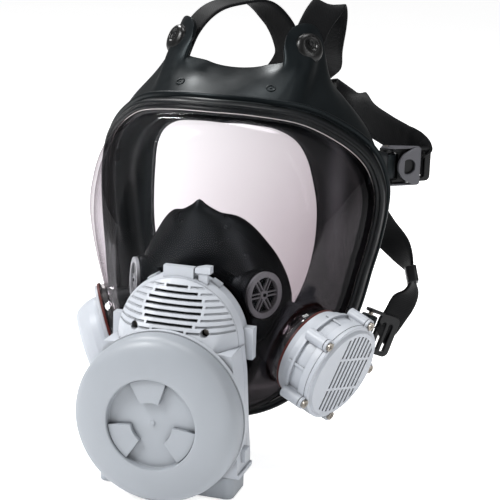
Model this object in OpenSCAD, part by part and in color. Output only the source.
// Full face respirator with a battery blower unit, a round front filter and two side units.
// Frame: millimetres, +Z up, the lens faces -Y, +X is the wearer's left, X = 0 is the plane of
// symmetry. The origin is the middle of the face opening, on the wearer's side of the lens.
// "Left" and "right" in names are as seen from in front of the lens: right is +X, left is -X.

/* [Face piece] */
// Half width of the lens rim
rim_half_w = 90; // [86:1:94]
// Depth of the rim's top centre in front of the origin
rim_front = 18; // [16:1:20]
// How far the rim wraps round the face, as a curvature in 1/mm
rim_wrap = 0.0072; // [0.0066:0.0001:0.0078]
// Wall of the lens
lens_wall = 2.4; // [2:0.1:3]
// Wall of the rubber seal and skirt
seal_wall = 2.6; // [2.2:0.1:3]

/* [Front port and coupling] */
// Height of the front port's axis
port_z = -49; // [-50:0.5:-48]
// Y of the lens's flat port seat
port_y = -50; // [-51:0.5:-49]
// Radius of the hole in the lens for the port socket
port_r = 31; // [31:0.1:31.4]
// Outer radius of the port socket, which the coupling ring turns on
socket_r = 30.5; // [30.3:0.1:30.5]
// Running clearance of the coupling ring on the socket
ring_clear = 0.08; // [0.05:0.01:0.1]

/* [Blower unit and filter] */
// Width of the battery pack
battery_w = 79; // [76:1:80]
// Height of the part of the battery pack that stays outside
battery_h = 12.5; // [11:0.5:14]
// Outer radius of the filter cover
filter_r = 47; // [45:0.5:48]
// Height of the filter's axis
filter_z = -85; // [-86:0.5:-84]
// Pitch of the cooling slots
slot_pitch = 3.1; // [3:0.1:3.2]
// Distance between the two upper case screws
case_screw_pitch = 40.4; // [40:0.1:41]

/* [Side units] */
// Radius of the lens's side collars
collar_r = 25.5; // [25:0.1:25.8]
// Radius of the screw circle of the grille cover
lug_circle_r = 31.1; // [30.5:0.1:31.5]
// Width of the grille cover's slots
grille_slot = 1.7; // [1.2:0.1:2]

/* [Harness] */
// Width of the woven straps
strap_w = 19; // [17:0.5:20]
// Thickness of the woven straps
strap_t = 2; // [1.6:0.1:2.2]

/* [Hidden] */
$fn = 64;

WHITE = [0.84, 0.86, 0.90];
GREY = [0.74, 0.76, 0.79];
RUBBER = [0.12, 0.13, 0.15];

// ---- vectors and curves ----
function unit(v) = v / norm(v);
function lerp(a, b, t) = a + (b - a) * t;
// Catmull-Rom curve from b to c, with neighbours a and d
function spline(a, b, c, d, t) = 0.5 * ((2 * b) + (c - a) * t
  + (2 * a - 5 * b + 4 * c - d) * t * t + (3 * b - a - 3 * c + d) * t * t * t);
// smooth closed curve through the points
function closed_curve(points, steps) = let (n = len(points))
  [for (i = [0 : n - 1]) for (j = [0 : steps - 1])
    spline(points[(i + n - 1) % n], points[i], points[(i + 1) % n], points[(i + 2) % n],
      j / steps)];
// smooth open curve through the points
function open_curve(points, steps) = let (last = len(points) - 1)
  concat([for (i = [0 : last - 1]) for (j = [0 : steps - 1])
    spline(points[max(i - 1, 0)], points[i], points[i + 1], points[min(i + 2, last)],
      j / steps)], [points[last]]);
// whole loop from its X >= 0 half, given from the top centre to the bottom centre
function both_halves(half) =
  concat(half, [for (i = [len(half) - 2 : -1 : 1]) [-half[i].x, half[i].y, half[i].z]]);
// flat outline and its mirror image, which runs back to the point numbered stop
function with_mirror(points, stop = 0) =
  concat(points, [for (i = [len(points) - 1 : -1 : stop]) [-points[i].x, points[i].y]]);
// matrix that puts local z on the normal and local y as near to up as it can be
function plane_frame(origin, normal) =
  let (x = unit(cross([0, 0, 1], normal)), y = cross(normal, x))
  [for (i = [0 : 2]) [x[i], y[i], normal[i], origin[i]]];

// ---- meshes lofted through rings of equal point counts ----
function turned(face, flip) = flip ? [face[0], face[2], face[1]] : face;
function skin_faces(spans, rows, count, flip) =
  [for (i = [0 : spans - 1]) for (j = [0 : count - 1])
    let (near = i * count, far = ((i + 1) % rows) * count, next = (j + 1) % count)
    each [turned([near + j, near + next, far + next], flip),
      turned([near + j, far + next, far + j], flip)]];
function centre(ring) = [for (axis = [0 : 2])
  let (values = [for (p = ring) p[axis]]) (values * [for (v = values) 1]) / len(ring)];
// the last ring joins the first
module ring_mesh(rings, flip = false) {
  rows = len(rings);
  polyhedron(points = [for (ring = rings) each ring],
    faces = skin_faces(rows, rows, len(rings[0]), flip), convexity = 8);
}
// a fan closes each end
module capped_mesh(rings, flip = false) {
  rows = len(rings);
  count = len(rings[0]);
  hub = rows * count;
  end = (rows - 1) * count;
  polyhedron(
    points = concat([for (ring = rings) each ring], [centre(rings[0]), centre(rings[rows - 1])]),
    faces = concat(skin_faces(rows - 1, rows, count, flip),
      [for (j = [0 : count - 1]) turned([hub, (j + 1) % count, j], flip)],
      [for (j = [0 : count - 1]) turned([hub + 1, end + j, end + (j + 1) % count], flip)]),
    convexity = 8);
}
// flat band along a path; across gives the width direction at each point
module band(path, across, width, thickness) {
  last = len(path) - 1;
  capped_mesh([for (i = [0 : last])
    let (along = unit(path[min(i + 1, last)] - path[max(i - 1, 0)]),
      wide = unit(across[i] - (across[i] * along) * along),
      side = wide * width / 2,
      rise = cross(along, wide) * thickness / 2)
    [path[i] - side - rise, path[i] + side - rise,
      path[i] + side + rise, path[i] - side + rise]], true);
}

// ---- placed shapes ----
module mirrored(left) {
  if (left) mirror([1, 0, 0]) children();
  else children();
}
module mirrored_pair() { for (left = [false, true]) mirrored(left) children(); }
module box(corner, size) { translate(corner) cube(size); }
// cylinder or cone on local z
module disc(base, height, radius, top = undef) {
  translate([0, 0, base]) cylinder(h = height, r1 = radius, r2 = is_undef(top) ? radius : top);
}
// turns local z to the front (-Y) and local y up
module facing_front(origin) { translate(origin) rotate([90, 0, 0]) children(); }
// disc on an axis along Y, given by the Y of its back and front
module front_disc(z, back, front, radius, front_r = undef) {
  facing_front([0, back, z]) disc(0, back - front, radius, front_r);
}
module port_disc(back, front, radius, front_r = undef) {
  front_disc(port_z, back, front, radius, front_r);
}
module filter_disc(back, front, radius) { front_disc(filter_z, back, front, radius); }
module slab(back, front) {
  facing_front([0, back, 0]) linear_extrude(height = back - front) children();
}

// ---- rim curve and the frame that rides on it ----
// x (for a half width of 90) and z, from the top centre to the bottom centre
RIM_OUTLINE = [[0, 77], [25, 76], [50, 71], [70, 58.5], [83, 43.5], [89.2, 26], [90, 10],
  [87.5, -10], [84, -27], [79.5, -49], [72, -70], [60.5, -88.5], [46, -101.5], [27, -108.5],
  [0, -110.5]];
rim_scale = rim_half_w / 90;
RIM_FLAT = closed_curve(both_halves([for (p = RIM_OUTLINE) [p[0] * rim_scale, 0, p[1]]]), 3);
RIM = [for (p = RIM_FLAT) [p.x, -rim_front + rim_wrap * p.x * p.x, p.z]];
RIM_N = len(RIM);
function rim_tangent(i) = unit(RIM[(i + 1) % RIM_N] - RIM[(i + RIM_N - 1) % RIM_N]);
function rim_forward(i) =
  let (tangent = rim_tangent(i), front = [0, -1, 0]) unit(front - (front * tangent) * tangent);
function rim_inward(i) = cross(rim_tangent(i), rim_forward(i));
// offsets are from the rim's outer edge
function on_rim(i, inward, forward) = RIM[i] + rim_inward(i) * inward + rim_forward(i) * forward;
// one ring round the rim for each [inward, forward] pair of a section
function rim_rings(section) = [for (s = section) [for (i = [0 : RIM_N - 1]) on_rim(i, s[0], s[1])]];

// ---- lens ----
SIDE_AXIS = unit([0.879, -0.375, -0.294]);
SIDE_CENTRE = [60.9, -14.6, -63.9];
side_flat_depth = 4; // from the side port's centre in to the lens's flat
flat_blend = 6; // half depth over which the flat runs into the curve
lens_power = 2.25; // superellipse exponent of the bulge
lens_edge = 5.6; // from the rim's edge in to the bulge
flange_edge = 2;
flange_front = 2.6;
flange_back = 0.2;
collar_depth = 9;
// angles of the rings from the rim to the port seat
LENS_ANGLES = [0, 8, 18, 30, 44, 58, 74];

function sided(v, side) = [side * v.x, v.y, v.z];
// side is 1 for +X and -1 for -X; local z runs out along the side port's axis
module side_frame(side) {
  multmatrix(plane_frame(sided(SIDE_CENTRE, side), sided(SIDE_AXIS, side))) children();
}
module both_side_frames() { for (side = [1, -1]) side_frame(side) children(); }

function soft_cut(h) = h < -flat_blend ? 0
  : (h < flat_blend ? (h + flat_blend) * (h + flat_blend) / (4 * flat_blend) : h);
function flatten_side(p, side) =
  let (axis = sided(SIDE_AXIS, side), h = (p - sided(SIDE_CENTRE, side)) * axis + side_flat_depth)
  p - axis * soft_cut(h);
// point on a circle about the port's axis, on the ray towards another point
function port_point(toward, y, radius) = let (angle = atan2(toward.z - port_z, toward.x))
  [radius * cos(angle), y, port_z + radius * sin(angle)];
function port_ring(y, radius) = [for (p = RIM) port_point(p, y, radius)];
// point on a superelliptic bulge from edge (0 degrees) to crown (90 degrees)
function bulge_point(edge, crown, angle, power) =
  let (c = pow(cos(angle), 2 / power), s = pow(sin(angle), 2 / power))
  [crown.x + (edge.x - crown.x) * c, edge.y + (crown.y - edge.y) * s,
    crown.z + (edge.z - crown.z) * c];
// inset is 0 for the lens's front surface and its wall for the back one
function lens_ring(angle, inset) = [for (i = [0 : RIM_N - 1])
  let (edge = on_rim(i, lens_edge + inset, flange_front),
    crown = port_point(edge, port_y + inset, port_r + 6.4 - inset * 0.3))
  flatten_side(flatten_side(bulge_point(edge, crown, angle, lens_power), 1), -1)];

module lens_shell() {
  back_y = port_y + lens_wall;
  seat_r = port_r + 6;
  ring_mesh(concat(
    rim_rings([[flange_edge, flange_front]]),
    [for (angle = LENS_ANGLES) lens_ring(angle, 0)],
    [port_ring(port_y, seat_r), port_ring(port_y, port_r)],
    [port_ring(back_y, port_r), port_ring(back_y, seat_r)],
    [for (i = [len(LENS_ANGLES) - 1 : -1 : 0]) lens_ring(LENS_ANGLES[i], lens_wall)],
    rim_rings([[7.6, flange_back], [flange_edge, flange_back]])));
}
// resize([0, 0, 0]), here and below, leaves every size as it is
module lens() {
  color([0.9, 0.9, 0.93, 0.3]) resize([0, 0, 0]) difference() {
    union() {
      lens_shell();
      both_side_frames() disc(-collar_depth, collar_depth, collar_r, $fn = 48);
    }
    both_side_frames() disc(-22, 40, collar_r - 2.7, $fn = 48);
    // trims all that stands out past the collars
    both_side_frames() cylinder(h = 20, r = collar_r + 4, $fn = 48);
  }
}

// ---- rim: a channel that grips the lens flange and the seal flange ----
// columns here and in the seal sections: inward, forward
RIM_SECTION = [[0.2, -5], [5, -5], [5, -3.2], [1.6, -3.2], [1.6, 3], [5, 3], [5, 4.2],
  [3.8, 5], [2.9, 4.3], [1.9, 5], [0.9, 4.4], [0, 3]];
module lens_rim() { color(RUBBER * 0.8) ring_mesh(rim_rings(RIM_SECTION), true); }

// ---- face seal with its forehead skirt, tabs and harness arms ----
// face opening, X >= 0 half from top to bottom
OPENING_HALF = [[0, 3, 62], [15, 4, 62], [30, 8, 60], [41, 14, 53], [47, 19, 42], [50, 24, 28],
  [52, 28, 12], [52, 29, -5], [50, 29, -21], [46, 28, -37], [40, 26, -51], [31, 22, -63],
  [21, 18, -72], [11, 15, -77], [0, 14, -79]];
OPENING = closed_curve(both_halves(OPENING_HALF), 3);
SEAL_FRONT_FLANGE = [[2, -2.7], [2, -0.2], [8.4, -0.2]];
SEAL_BACK_FLANGE = [[7.4, -8.2], [-1.2, -8.2], [-1.2, -5.6], [5.5, -5.6], [5.5, -2.7]];
RIM_ROOM = [[-0.3, -5.35], [5.3, -5.35], [5.3, -2.95], [1.8, -2.95], [1.8, 5.4], [-0.3, 5.4]];
// where the seal's rings lie, from the rim (0) to the face opening (1)
SEAL_STEPS = [0.12, 0.32, 0.54, 0.76, 0.92, 1];
seal_bulge = 13; // how far the seal bows back between rim and opening

function seal_mid(i, w) =
  lerp(on_rim(i, 8.2, -4), OPENING[i], w) + [0, seal_bulge * sin(180 * pow(w, 0.8)), 0];
function seal_normal(i, w) = unit(cross(
  seal_mid(i, min(w + 0.04, 1)) - seal_mid(i, max(w - 0.04, 0)),
  seal_mid((i + 1) % RIM_N, w) - seal_mid((i + RIM_N - 1) % RIM_N, w)));
function seal_ring(w, off) =
  [for (i = [0 : RIM_N - 1]) seal_mid(i, w) + seal_normal(i, w) * off];
module seal_body() {
  half = seal_wall / 2;
  ring_mesh(concat(
    rim_rings(SEAL_FRONT_FLANGE),
    [for (w = SEAL_STEPS) seal_ring(w, half)],
    [for (i = [len(SEAL_STEPS) - 1 : -1 : 0]) seal_ring(SEAL_STEPS[i], -half)],
    rim_rings(SEAL_BACK_FLANGE)));
}

// stations from the top centre out to the +X side; each runs from the rim to the free edge
SKIRT_HALF = [
  [[0, -11, 76.5], [0, 0, 82], [0, 13, 87], [0, 25, 90]],
  [[14, -9.5, 76.3], [13.5, 2, 82.5], [13, 14, 87.5], [12, 26, 91]],
  [[26, -6, 75], [26, 6, 83], [26, 17, 89], [26, 26, 94]],
  [[41, 1, 72.5], [42, 13, 82], [43, 24, 90], [43, 32, 96]],
  [[56, 11, 67], [56, 21, 76], [55.5, 30, 84], [54, 38, 90]],
  [[69, 22, 58], [68, 29, 65], [66.5, 35, 70], [64.5, 40, 74]],
  [[79, 33, 46], [78.5, 37, 50], [77.5, 41, 53], [76, 45, 55]],
  [[84.5, 40.5, 35], [84, 42.5, 37], [83.5, 45, 38.5], [83, 47.5, 39.5]]];
SKIRT = concat(
  [for (i = [len(SKIRT_HALF) - 1 : -1 : 1]) [for (p = SKIRT_HALF[i]) [-p.x, p.y, p.z]]],
  SKIRT_HALF);
module skirt() {
  rows = [for (v = [0 : 3]) open_curve([for (station = SKIRT) station[v]], 2)];
  last = len(rows[0]) - 1;
  grid = [for (j = [0 : last]) open_curve([for (row = rows) row[j]], 3)];
  edge = len(grid[0]) - 1;
  function normal(j, v) = unit(cross(
    grid[min(j + 1, last)][v] - grid[max(j - 1, 0)][v],
    grid[j][min(v + 1, edge)] - grid[j][max(v - 1, 0)]));
  capped_mesh([for (j = [0 : last]) concat(
    [for (v = [0 : edge]) grid[j][v] + normal(j, v) * seal_wall / 2],
    [for (v = [edge : -1 : 0]) grid[j][v] - normal(j, v) * seal_wall / 2])]);
}

STUD = [39.5, 37, 104];
TAB_NORMAL = unit([0.64, -0.64, 0.42]);
module tab_frame() { multmatrix(plane_frame(STUD, TAB_NORMAL)) children(); }
module tab() {
  tab_frame() hull() {
    translate([0, 2, -1.4]) cylinder(h = 2.8, r = 12.5, $fn = 32);
    translate([1, -17, -1.6]) cylinder(h = 3, r = 16, $fn = 32);
  }
}

// buckle places and pins on the +X side
BUCKLE_DIR = unit([1, 1, 0]);
TEMPLE_PIN = [92.7, 78, 32] - BUCKLE_DIR * 13;
LOWER_PIN = [83.1, 78, -70.5] - BUCKLE_DIR * 9;
LOWER_TILT = -22; // the lower buckle's strap side points down by this angle
buckle_turn = 45; // from +X towards +Y
temple_turn_left = 65; // the left temple buckle is turned further back
pin_r = 1.5;
pin_hole_r = 1.58;
// local z along the pin, local x from the pin towards the strap
module pin_frame(pin, turn = buckle_turn, tilt = 0) {
  translate(pin) rotate([0, 0, turn]) rotate([0, -tilt, 0]) children();
}
module lower_frame() { pin_frame(LOWER_PIN, tilt = LOWER_TILT) children(); }
// strip from the seal to a knuckle round the pin, twisting to the tilt
module arm(from, pin, width, tilt = 0) {
  path = open_curve(
    [from, lerp(from, pin, 0.4) + [2.5, 0, 0], pin - [0.4, 9, 0], pin - [0, 4.2, 0]], 4);
  last = len(path) - 1;
  across = [for (i = [0 : last]) let (a = tilt * i / last)
    [-sin(a) * 0.707, -sin(a) * 0.707, cos(a)]];
  difference() {
    union() {
      band(path, across, width, 3.2);
      pin_frame(pin, tilt = tilt) disc(-width / 2, width, 5.2, $fn = 28);
    }
    pin_frame(pin, tilt = tilt) disc(-width, 2 * width, 1.9, $fn = 28);
  }
}
module face_seal() {
  color(RUBBER) resize([0, 0, 0]) difference() {
    union() {
      seal_body();
      skirt();
      mirrored_pair() {
        tab();
        arm([83, 43, 37], TEMPLE_PIN, 15);
        arm([71.5, 27.5, -66], LOWER_PIN, 12, LOWER_TILT);
      }
    }
    ring_mesh(rim_rings(RIM_ROOM), true);
  }
}

// ---- nose cup ----
// open edge, X >= 0 half from top to bottom
CUP_HALF = [[0, -37, 22], [9, -33.5, 20], [17, -27.5, 16.5], [26, -19.5, 8], [33.5, -12, -3],
  [39.5, -6, -14], [44, 0, -28], [45.5, 3, -42], [41, 4, -54], [30, 3, -62.5], [15, 2, -66.5],
  [0, 1.5, -67.5]];
CUP_EDGE = closed_curve(both_halves(CUP_HALF), 2);
CUP_ANGLES = [0, 10, 22, 36, 52, 68, 84, 90];
cup_power = 2.3;
cup_y = -39.6; // front of the cup
cup_front_r = 32.6;
cup_mid_z = -25; // height that the edge shrinks towards
cup_wall = 2.2;
function cup_ring(angle, off) = [for (e = CUP_EDGE)
  bulge_point(e - unit([e.x, 0, e.z - cup_mid_z]) * off,
    port_point(e, cup_y + off, cup_front_r - off), angle, cup_power)];
// extended adds a ring behind the open edge, so that a cut breaks through
module cup_solid(off, extended) {
  capped_mesh(concat(
    extended ? [[for (p = cup_ring(0, off)) p + [0, 6, 0]]] : [],
    [for (angle = CUP_ANGLES) cup_ring(angle, off)]));
}
INHALE_CENTRE = [37.2, -33.6, -28];
INHALE_AXIS = unit([0.86, -0.5, 0.05]);
module inhale_frame() { multmatrix(plane_frame(INHALE_CENTRE, INHALE_AXIS)) children(); }
module nose_cup() {
  color(RUBBER) resize([0, 0, 0]) difference() {
    union() {
      cup_solid(0, false);
      both_side_frames() disc(-30, 22.5, 19, 21.8, $fn = 40);
      mirrored_pair() inhale_frame() disc(-9, 10, 15, 14, $fn = 40);
    }
    cup_solid(cup_wall, true);
    port_disc(0, -60, 24);
    both_side_frames() disc(-30.5, 23.5, 19 - cup_wall, 21.8 - cup_wall, $fn = 40);
    mirrored_pair() inhale_frame() {
      disc(-12, 20, 11.2, $fn = 40);
      disc(1.05, 6, 13.8, $fn = 40);
    }
    port_disc(-39.9, -52, 35.9);
  }
}

// ---- inhalation valves in the nose cup ----
module inhalation_seat(left) {
  color([0.5, 0.52, 0.55]) mirrored(left) inhale_frame() {
    difference() {
      union() {
        disc(1.2, 1.8, 13.4);
        disc(-3, 4.4, 11.1);
      }
      disc(-4, 9, 10.2);
    }
    // hub on six pairs of spokes
    difference() {
      union() {
        disc(0.4, 2.2, 2.6);
        for (a = [0 : 60 : 300]) rotate([0, 0, a])
          for (s = [-1, 1]) box([1.6, s * 1.1 - 0.35, 0.6], [9, 0.7, 1.4]);
      }
      cylinder(h = 4, r = 1.08, $fn = 24);
    }
  }
}
module inhalation_flap(left) {
  color([0.2, 0.2, 0.22]) mirrored(left) inhale_frame() {
    disc(-0.5, 0.7, 9.9);
    cylinder(h = 3.2, r = 1, $fn = 24);
  }
}

// ---- front port ----
module port_socket() {
  color(RUBBER) difference() {
    union() {
      port_disc(-40.2, -60.5, socket_r);
      port_disc(-51.5, -54.2, 35);
    }
    port_disc(-39, -62, 27.4);
  }
}
module port_nut() {
  color(RUBBER * 0.8) difference() {
    port_disc(-43.6, -47.4, 35.5);
    port_disc(-43, -48, socket_r + 0.15);
  }
}
module port_gasket() {
  color([0.35, 0.12, 0.1]) difference() {
    port_disc(-50.1, -51.4, 34.6);
    port_disc(-50, -52, socket_r + 0.2);
  }
}
module coupling_ring() {
  color(WHITE) difference() {
    union() {
      port_disc(-54.4, -61.6, 36.6);
      // a grip on each side and four ribs between them
      for (s = [-1, 1]) box([s * 38.4 - 3, -61.2, port_z - 9], [6, 6.2, 18]);
      for (a = [60, 120, 240, 300]) facing_front([0, -54.8, port_z])
        rotate([0, 0, a]) box([35.5, -3, 0], [2.2, 6, 6.2]);
    }
    port_disc(-54, -62, socket_r + ring_clear);
  }
}
module ring_latch() {
  color(WHITE) {
    box([8.4, -66.6, port_z + 38.6], [9, 5, 2.6]);
    box([10.4, -65.85, port_z + 31], [5.2, 2.6, 8]);
    hull() {
      box([8.4, -66.6, port_z + 41], [9, 5, 0.2]);
      box([13.4, -66.6, port_z + 41], [4, 5, 1.6]);
    }
  }
}

// ---- side units: the right one has a screwed grille, the left one a plain cap ----
spigot_r = 22.2; // the part that enters the collar
spigot_bore_r = 20.2;
cap_drop = -5; // the left cap and valve sit this far down from the port's axis
// centre lines of the grille's slots
GRILLE_X = [-9.4, -5.4, -1.4, 2.6, 6.6, 10.6, 14.6, 18.6];
// ends of each slot's three runs, between two cross bars
GRILLE_RUNS = [[-30, -10.4], [-8.8, 8.8], [10.4, 30]];

module side_gasket(side) {
  color([0.36, 0.13, 0.11]) side_frame(side) difference() {
    disc(0.2, 1.4, 26.6);
    disc(-1, 4, 22.4);
  }
}
module lug_turns(shift = 0) { for (a = [61 : 72 : 349]) rotate([0, 0, a + shift]) children(); }
module at_lugs() { lug_turns() translate([lug_circle_r, 0, 0]) children(); }
module side_housing_right() {
  color(WHITE) side_frame(1) difference() {
    union() {
      disc(-6, 10, spigot_r);
      disc(1.7, 4, 26.6, 27.4);
      disc(5.6, 17.6, 28.2);
      disc(19, 4.4, 29.6);
      at_lugs() disc(10.5, 12.7, 3.7);
      lug_turns() box([26.5, -3.3, 10.9], [4.9, 6.6, 12.1]);
      // ribs midway between the lugs
      lug_turns(36) box([27, -0.8, 7], [2.1, 1.6, 13]);
      disc(10, 1.6, 29.9);
    }
    disc(-8, 16, spigot_bore_r);
    disc(5.6, 20, 25.8);
    at_lugs() disc(12, 15, 1.5);
  }
}
module side_cover_right() {
  color(WHITE) side_frame(1) difference() {
    union() {
      disc(23.6, 2.4, 29.4);
      disc(26, 1.8, 27.6, 26.6);
      at_lugs() disc(23.6, 1.6, 3.6);
      lug_turns() box([27, -3.2, 23.6], [4.3, 6.4, 1.6]);
    }
    intersection() {
      disc(22, 10, 24.4);
      rotate([0, 0, -12]) for (x = GRILLE_X) for (run = GRILLE_RUNS)
        box([x - grille_slot / 2, run[0], 22], [grille_slot, run[1] - run[0], 10]);
    }
    at_lugs() {
      disc(22, 15, 1.6);
      disc(25.24, 9, 2.7);
    }
  }
}
module side_screws_right() {
  color([0.72, 0.7, 0.66]) side_frame(1) at_lugs() difference() {
    union() {
      disc(13, 13, 1.42, $fn = 24);
      disc(25.3, 1.3, 2.5, $fn = 24);
    }
    box([-1.6, -0.3, 26], [3.2, 0.6, 2]);
    box([-0.3, -1.6, 26], [0.6, 3.2, 2]);
  }
}
module side_housing_left() {
  color(WHITE) side_frame(-1) difference() {
    union() {
      disc(-6, 9, spigot_r);
      disc(1.7, 1.8, 25.6);
    }
    disc(-8, 16, spigot_bore_r);
  }
}
// radius and height along the side axis
CAP_PROFILE = [[21.4, 3.7], [24, 3.7], [24, 6.5], [23, 10.5], [21.2, 14.2], [19.2, 17],
  [17, 18.6], [15, 19], [0, 19], [0, 16.8], [14.4, 16.8], [16.6, 15.6], [18.6, 13], [20.6, 9.4],
  [21.4, 6.5]];
module side_cover_left() {
  color(WHITE) side_frame(-1) translate([0, cap_drop, 0]) difference() {
    rotate_extrude() polygon(CAP_PROFILE);
    // nine slots round the lower edge
    for (a = [-4 : 4]) rotate([0, 0, 270 + a * 9]) box([18, -0.8, 7], [10, 1.6, 5]);
  }
}
module valve_frame(left, height) {
  side_frame(left ? -1 : 1) translate([0, left ? cap_drop : 0, height]) children();
}
module exhalation_seat(left) {
  seat_r = left ? 19.5 : 25.3;
  color([0.25, 0.26, 0.28]) valve_frame(left, left ? 5.2 : 9) difference() {
    union() {
      difference() {
        cylinder(h = 1.8, r = seat_r);
        disc(-1, 4, seat_r - 7);
      }
      cylinder(h = 1.8, r = 3);
      for (a = [0 : 60 : 300]) rotate([0, 0, a]) box([1.6, -0.65, 0.2], [seat_r - 7.6, 1.3, 1.4]);
    }
    disc(-1, 4, 1.2, $fn = 24);
  }
}
module exhalation_disc(left) {
  color([0.16, 0.17, 0.18]) valve_frame(left, left ? 7.1 : 10.9) {
    cylinder(h = 1, r = left ? 15 : 20.5);
    disc(-3.4, 3.6, 1.12, $fn = 24);
  }
}

// ---- harness ----
module harness_studs() {
  color(RUBBER * 0.6) mirrored_pair() tab_frame() {
    disc(1.6, 2.2, 6.5);
    disc(3.8, 1.8, 6.2, 3.8);
  }
}
PAD = [2, 121, 67];
PAD_TILT = -22;
module back_pad() {
  color(RUBBER * 0.9) translate(PAD) rotate([PAD_TILT, 0, 0]) hull()
    for (x = [-25, 25]) for (y = [-7, 4]) translate([x, y, -2]) cylinder(h = 3.6, r = 11, $fn = 24);
}
// a point in the pad's own tilted frame
function on_pad(x, y, z) = PAD
  + [x, y * cos(PAD_TILT) - z * sin(PAD_TILT), y * sin(PAD_TILT) + z * cos(PAD_TILT)];

// strap stations: centre, width direction
TOP_LEFT = [
  [[-39.8, 38.4, 94], [0.76, -0.66, 0]],
  [[-35.5, 43.6, 108], [0.76, -0.66, 0]],
  [[-29, 50.5, 118.6], [0.78, -0.6, 0]],
  [[-20.9, 58, 124.3], [0.85, -0.5, 0]],
  [[-8.8, 66, 126.2], [0.95, -0.3, 0]],
  [[0.4, 72, 123.3], [1, -0.2, 0]],
  [[8.5, 78, 114.7], [1, -0.1, 0]],
  [[12.6, 86, 103.2], [1, -0.05, 0]],
  [[12.4, 96, 91], [1, 0, 0]],
  [on_pad(1.5, -16, 6.8), [1, 0, 0]],
  [on_pad(-2.5, -9, 5.3), [1, 0, 0]]];
TOP_RIGHT = [
  [[39.2, 39.6, 94], [0.8, 0.55, 0]],
  [[37.6, 44.6, 106], [0.8, 0.55, 0]],
  [[40.6, 53, 118.5], [0.82, 0.55, -0.1]],
  [[44, 63, 126], [0.84, 0.52, -0.18]],
  [[44.8, 69.6, 124.4], [0.86, 0.4, -0.1]],
  [[44, 76, 114.1], [0.9, -0.2, 0.05]],
  [[40.6, 85, 98.9], [0.91, -0.4, 0.08]],
  [[37.1, 96, 88.4], [0.9, -0.3, 0.1]],
  [on_pad(27, -16.5, 7), [0.93, 0.2, 0]],
  [on_pad(21.5, -12, 5.3), [0.92, 0.25, 0]]];
// the left temple and lower straps are given on the +X side and mirrored
TEMPLE_RIGHT = [
  [on_pad(27, 6, 3.8), [0.1, 0.93, -0.37]],
  [on_pad(39, 5, 6), [0.1, 0.93, -0.37]],
  [[51, 114.5, 63.5], [0.1, 0.7, 0.6]],
  [[62.2, 103.5, 55.6], [0.1, 0.3, 0.95]],
  [[76.3, 96, 49.6], [0, 0.2, 0.97]],
  [[88.6, 90.4, 45.4], [0, 0.15, 0.99]],
  [[93.5, 88.2, 44], [0, 0.1, 1]]];
TEMPLE_LEFT = [
  [on_pad(19, -2.5, 3.8), [0.1, 0.93, -0.37]],
  [on_pad(34, -3.5, 6.4), [0.1, 0.93, -0.37]],
  [[51, 115, 62], [0.05, 0.7, 0.6]],
  [[64.3, 112, 58.1], [0, 0.25, 0.97]],
  [[77, 108, 53], [0, 0.2, 0.98]],
  [[85, 103.4, 47.6], [0, 0.15, 0.99]],
  [[88, 100.6, 45], [0, 0.1, 1]]];
LOWER_RIGHT = [
  [on_pad(9, 3, 4), [-0.9, 0.4, -0.2]],
  [on_pad(14, 14, 6.6), [-0.87, 0.4, -0.25]],
  [[23, 142, 52.6], [-0.75, 0.4, -0.5]],
  [[37, 137, 36], [-0.65, 0.35, -0.65]],
  [[50, 128, 17], [-0.6, 0.2, -0.7]],
  [[63, 115, -1], [-0.62, 0, -0.7]],
  [[77, 102, -15.5], [-0.65, -0.15, -0.7]],
  [[90, 95.5, -26], [-0.5, 0.2, -0.7]],
  [[98.5, 90.5, -37], [-0.2, 0.7, -0.55]],
  [[101, 87.5, -48], [0.1, 0.9, -0.4]],
  [[96.5, 86.8, -58], [0.6, 0.6, -0.5]]];
LOWER_LEFT = [
  [on_pad(6, 8, 4), [-0.35, 0.85, -0.37]],
  [on_pad(20, 15, 9), [-0.3, 0.85, -0.45]],
  [[38, 138.5, 58], [-0.1, 0.7, -0.65]],
  [[56, 129, 52.6], [0, 0.6, -0.8]],
  [[76.2, 123, 48], [0, 0.6, -0.8]],
  [[88.8, 118, 42], [-0.2, 0.8, -0.5]],
  [[94.2, 112, 31], [0, 0.95, -0.1]],
  [[95.9, 106, 12.6], [0.1, 1, 0]],
  [[94.6, 100, -13.5], [0.1, 1, 0]],
  [[92.2, 95, -39.7], [0.2, 1, 0]],
  [[90.5, 90, -54.5], [0.3, 0.9, 0]]];
module strap(stations) {
  color(RUBBER * 0.7) band(open_curve([for (s = stations) s[0]], 4),
    open_curve([for (s = stations) s[1]], 4), strap_w, strap_t);
}
module strap_top(left) { strap(left ? TOP_LEFT : TOP_RIGHT); }
module strap_temple(left) { mirrored(left) strap(left ? TEMPLE_LEFT : TEMPLE_RIGHT); }
module strap_lower(left) { mirrored(left) strap(left ? LOWER_LEFT : LOWER_RIGHT); }

module buckle_pins() {
  color([0.7, 0.7, 0.72]) mirrored_pair() {
    pin_frame(TEMPLE_PIN) disc(-12.2, 24.4, pin_r, $fn = 24);
    lower_frame() disc(-9.8, 19.6, pin_r, $fn = 24);
  }
}
module temple_frame(left) {
  mirrored(left) pin_frame(TEMPLE_PIN, left ? temple_turn_left : buckle_turn) children();
}
// two cheeks joined by three cross bars
module temple_buckle(left) {
  color(RUBBER) temple_frame(left) difference() {
    union() {
      for (s = [-1, 1]) translate([0, 0, s * 9.4 - 1.3]) {
        cylinder(h = 2.6, r = 4.2);
        box([0, -4.2, 0], [30.4, 4.6, 2.6]);
      }
      box([9.6, -3.2, -10.6], [3, 3, 21.2]);
      box([18.8, -4.2, -10.6], [3.6, 4.4, 21.2]);
      box([26, -4.4, -10.6], [4.4, 4.8, 21.2]);
    }
    disc(-12, 24, pin_hole_r);
  }
}
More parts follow.
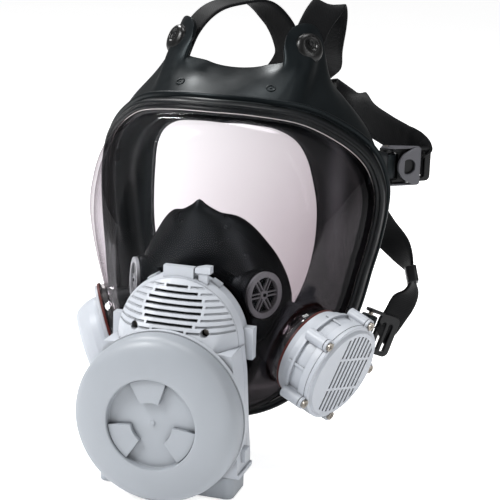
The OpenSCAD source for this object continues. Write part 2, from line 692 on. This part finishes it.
// one edge of the lever's plate, x and y, from the strap's side to the pin's
LEVER_EDGE = [[20, 12], [19, 12], [15, 11.2], [11, 9.6], [7.4, 7.6], [5, 5.2], [4, 2.6]];
LEVER_CHEEK = [[-1, -3.4], [2, -5.6], [19.5, -7.6], [19.5, -5.4], [3, 2]];
// a rounded triangular plate with a round hole, wide at the strap's side, on two cheeks
module temple_lever(left) {
  color([0.4, 0.4, 0.43]) temple_frame(left) difference() {
    union() {
      facing_front([0, -6, 0]) linear_extrude(height = 2.4) polygon(concat(
        [for (i = [len(LEVER_EDGE) - 1 : -1 : 0]) [LEVER_EDGE[i].x, -LEVER_EDGE[i].y]],
        LEVER_EDGE));
      for (s = [-1, 1]) translate([0, 0, s * 11.4 - 0.6]) {
        cylinder(h = 1.2, r = 3.6);
        linear_extrude(height = 1.2) polygon(LEVER_CHEEK);
      }
    }
    disc(-14, 28, pin_hole_r);
    facing_front([12.4, 0, 0]) cylinder(h = 12, r = 4.4);
  }
}
// two cheeks and a plate with two strap slots
module lower_buckle(left) {
  color(RUBBER) mirrored(left) lower_frame() difference() {
    union() {
      for (s = [-1, 1]) translate([0, 0, s * 9 - 1.1]) {
        cylinder(h = 2.2, r = 4);
        box([0, -4, 0], [9, 4, 2.2]);
      }
      box([5.8, -4, -17], [15.6, 2.6, 27.1]);
    }
    disc(-12, 24, pin_hole_r);
    for (x = [8.8, 14.2]) box([x, -6, -14.4], [3, 6, 19]);
  }
}

// ---- blower unit ----
case_back = -62;
case_front = -86;
case_wall = 2.2;
case_screw_z = -39;
slot_top = -17.6; // height of the top cooling slot
// half widths of the cooling slots, from the top down
SLOT_HALF_W = [6.2, 12.4, 15.3, 16.4, 16.4, 15.3, 13.2, 9];
CONTACT_X = [-9, -3, 3, 9];
// +X edges of the case's body and of the flat face above it, as x and z from the top down
BODY = [[37, -49], [39, -64], [41, -95], [42.4, -112], [42.4, -118.6]];
FACE = [[0, -40], [12, -40.4], [20, -42.6], [25.5, -48], [28, -58], [28, -72]];

module body_outline(inset) { polygon(with_mirror([for (p = BODY) [p.x - inset, p.y]])); }
module face_outline(inset) { offset(delta = -inset) polygon(with_mirror(FACE, 1)); }
module dome(inset) {
  hull() {
    port_disc(-68.2, -69, 35.3 - inset, 35.2 - inset);
    slab(-85.6 + inset, -86.2 + inset) face_outline(inset * 0.8);
  }
}
// rail across the foot of the case
module foot_rail(y, depth) { box([-43.6, y, -119], [87.2, depth, 2.4]); }
// opening for the battery pack in the foot of the case
module battery_mouth(y, depth) { box([-37.4, y, -125], [74.8, depth, 12]); }
module at_case_screws(y) {
  for (s = [-1, 1]) facing_front([s * case_screw_pitch / 2, y, case_screw_z]) children();
}
module blower_rear_case() {
  inner_back = case_back - case_wall;
  color(WHITE) difference() {
    union() {
      port_disc(case_back, -68, 36.9, 35.4);
      slab(case_back, -68) body_outline(0);
      port_disc(-47, -63, 27.3);
      box([-10, -66.5, port_z + 33], [17.6, 4.5, 8.2]);
      foot_rail(-68, 6);
    }
    // slot for the ring latch
    box([10.1, -66.15, port_z + 28], [5.8, 3.2, 14]);
    port_disc(inner_back, -70, 34.6, 33.1);
    slab(inner_back, -70) body_outline(case_wall);
    port_disc(-40, -70, 24.6);
    battery_mouth(-70, 5.8);
  }
}
module blower_front_case() {
  color(WHITE) difference() {
    union() {
      dome(0);
      slab(-68.2, case_front) body_outline(0);
      foot_rail(case_front, 17.8);
    }
    translate([0, 1.5, 0]) dome(case_wall);
    slab(-66, case_front + case_wall) body_outline(case_wall);
    port_disc(-66, -70, 33.1);
    for (i = [0 : len(SLOT_HALF_W) - 1])
      box([-SLOT_HALF_W[i], -90, slot_top - i * slot_pitch - 0.75], [2 * SLOT_HALF_W[i], 30, 1.5]);
    // the slots run on as shallow grooves over the flanks
    difference() {
      for (i = [0 : len(SLOT_HALF_W) - 1]) for (s = [-1, 1])
        box([s > 0 ? SLOT_HALF_W[i] + 1.6 : -36, -90, slot_top - i * slot_pitch - 0.6],
          [36 - SLOT_HALF_W[i] - 1.6, 21, 1.1]);
      dome(0.8);
    }
    at_case_screws(-60) cylinder(h = 40, r = 2.2, $fn = 32);
    filter_disc(-80, -90, 21);
    // windows for the battery latches
    for (s = [-1, 1]) box([s * 41 - 4, -79.15, -111.65], [8, 8.3, 7.3]);
    battery_mouth(-82, 16);
  }
}
module case_screws() {
  color([0.3, 0.3, 0.32]) at_case_screws(0) {
    disc(64.4, 12, 1.4, $fn = 24);
    disc(76.2, 1.6, 2.1, $fn = 24);
  }
}
module vent_foam() {
  color([0.08, 0.08, 0.09]) difference() {
    intersection() {
      translate([0, 2.1, 0]) dome(2.8);
      box([-17.5, -84, -41.5], [35, 15.2, 23.5]);
    }
    translate([0, 3.5, 0]) dome(3.8);
    port_disc(-60, -84, 12.2);
    port_disc(-60, -70.7, 24);
    at_case_screws(-60) cylinder(h = 40, r = 3, $fn = 32);
  }
}
module blower_motor() {
  color([0.55, 0.56, 0.6]) difference() {
    union() {
      port_disc(-71, -79.6, 11.4);
      port_disc(-70.6, -72, 5);
    }
    port_disc(-69, -78.8, 1.56);
  }
}
module motor_shaft() { color([0.8, 0.8, 0.82]) port_disc(-63.6, -78.6, 1.5); }
module impeller() {
  color([0.2, 0.22, 0.26]) difference() {
    union() {
      port_disc(-68.6, -70, 20.2);
      port_disc(-65, -70, 6);
      facing_front([0, -65, port_z]) for (a = [0 : 40 : 320]) rotate([0, 0, a])
        translate([9, -0.6, 0]) rotate([0, 0, 24]) cube([11, 1.2, 4]);
    }
    port_disc(-60, -75, 1.5);
  }
}
module circuit_board() {
  color([0.1, 0.35, 0.2]) {
    box([-24, -81, -76], [48, 1.4, 12]);
    box([-18, -79.6, -73], [8, 2.6, 6]);
    box([4, -79.6, -74], [12, 1.8, 8]);
  }
}
module battery_contacts() {
  color([0.8, 0.65, 0.3]) for (x = CONTACT_X) box([x - 1, -75, -83], [2, 3, 4]);
}

// ---- filter ----
module filter_seat() {
  color(WHITE) difference() {
    union() {
      filter_disc(-86.4, -88.4, 44);
      filter_disc(-88.4, -91.4, 47.6);
      filter_disc(-91.4, -94, 43.2);
    }
    filter_disc(-85, -96, 39);
  }
}
module filter_gasket() {
  color(RUBBER) difference() {
    filter_disc(-91.6, -93.6, 38.7);
    filter_disc(-90, -95, 34);
  }
}
module filter_cartridge() {
  color([0.9, 0.9, 0.86]) difference() {
    filter_disc(-94.2, -103.6, 39.6);
    filter_disc(-93, -95.6, 33);
  }
}
// radius and distance in front of Y = 0
COVER_PROFILE = [[43.3, 91.7], [filter_r - 0.4, 91.7], [filter_r, 92.4], [filter_r, 96.6],
  [filter_r - 0.6, 99.2], [filter_r - 2.4, 102.4], [filter_r - 5.4, 105.6],
  [filter_r - 9.6, 108.2], [filter_r - 14, 109.6], [filter_r - 18.6, 110.2], [25.8, 110.3],
  [25.4, 109.9], [25.4, 105.6], [0, 105.6], [0, 104], [40, 104], [41.6, 102.6], [43.3, 99]];
// rounded annular face, round recess with three raised pads and a centre pip
module filter_cover() {
  color(GREY) facing_front([0, 0, filter_z]) {
    rotate_extrude($fn = 96) polygon(COVER_PROFILE);
    for (a = [96, 212, 332]) rotate([0, 0, a]) intersection() {
      translate([0, 0, 104.6]) difference() {
        cylinder(h = 4, r = 25.5);
        disc(-1, 6, 12.6, 11.4);
      }
      linear_extrude(height = 120) polygon([[0, 0], [40, -40 * tan(25)], [40, 40 * tan(25)]]);
    }
    disc(105.4, 1, 1.4, 0.9, $fn = 24);
  }
}

// ---- battery ----
battery_corner_r = 4.4;
module battery_pack() {
  color(GREY) difference() {
    union() {
      hull() for (s = [-1, 1]) for (y = [-64.2, -81.4])
        translate([s * (battery_w / 2 - battery_corner_r), y, -119.3 - battery_h])
          cylinder(h = battery_h, r = battery_corner_r, $fn = 32);
      box([-36.6, -81.4, -119.4], [73.2, 16.2, 34]);
    }
    for (s = [-1, 1]) box([s * 36.7 - 1.5, -79.4, -113], [3, 8.8, 30]);
    for (x = CONTACT_X) box([x - 1.3, -75.4, -88], [2.6, 3.8, 4]);
  }
}
module battery_latch(left) { color(WHITE) mirrored(left) box([37.1, -79, -111.5], [7.4, 8, 7]); }

lens();
lens_rim();
face_seal();
nose_cup();
port_socket();
port_nut();
port_gasket();
coupling_ring();
ring_latch();
side_gasket(-1);  // side_gasket_left
side_gasket(1);  // side_gasket_right
side_housing_left();
side_housing_right();
side_cover_left();
side_cover_right();
side_screws_right();
exhalation_seat(true);  // exhalation_seat_left
exhalation_seat(false);  // exhalation_seat_right
exhalation_disc(true);  // exhalation_disc_left
exhalation_disc(false);  // exhalation_disc_right
inhalation_seat(true);  // inhalation_seat_left
inhalation_seat(false);  // inhalation_seat_right
inhalation_flap(true);  // inhalation_flap_left
inhalation_flap(false);  // inhalation_flap_right
harness_studs();
strap_top(true);  // strap_top_left
strap_top(false);  // strap_top_right
strap_temple(true);  // strap_temple_left
strap_temple(false);  // strap_temple_right
strap_lower(true);  // strap_lower_left
strap_lower(false);  // strap_lower_right
back_pad();
buckle_pins();
temple_buckle(true);  // temple_buckle_left
temple_buckle(false);  // temple_buckle_right
temple_lever(true);  // temple_lever_left
temple_lever(false);  // temple_lever_right
lower_buckle(true);  // lower_buckle_left
lower_buckle(false);  // lower_buckle_right
blower_rear_case();
blower_front_case();
case_screws();
vent_foam();
blower_motor();
impeller();
motor_shaft();
circuit_board();
battery_contacts();
filter_seat();
filter_gasket();
filter_cartridge();
filter_cover();
battery_pack();
battery_latch(true);  // battery_latch_left
battery_latch(false);  // battery_latch_right
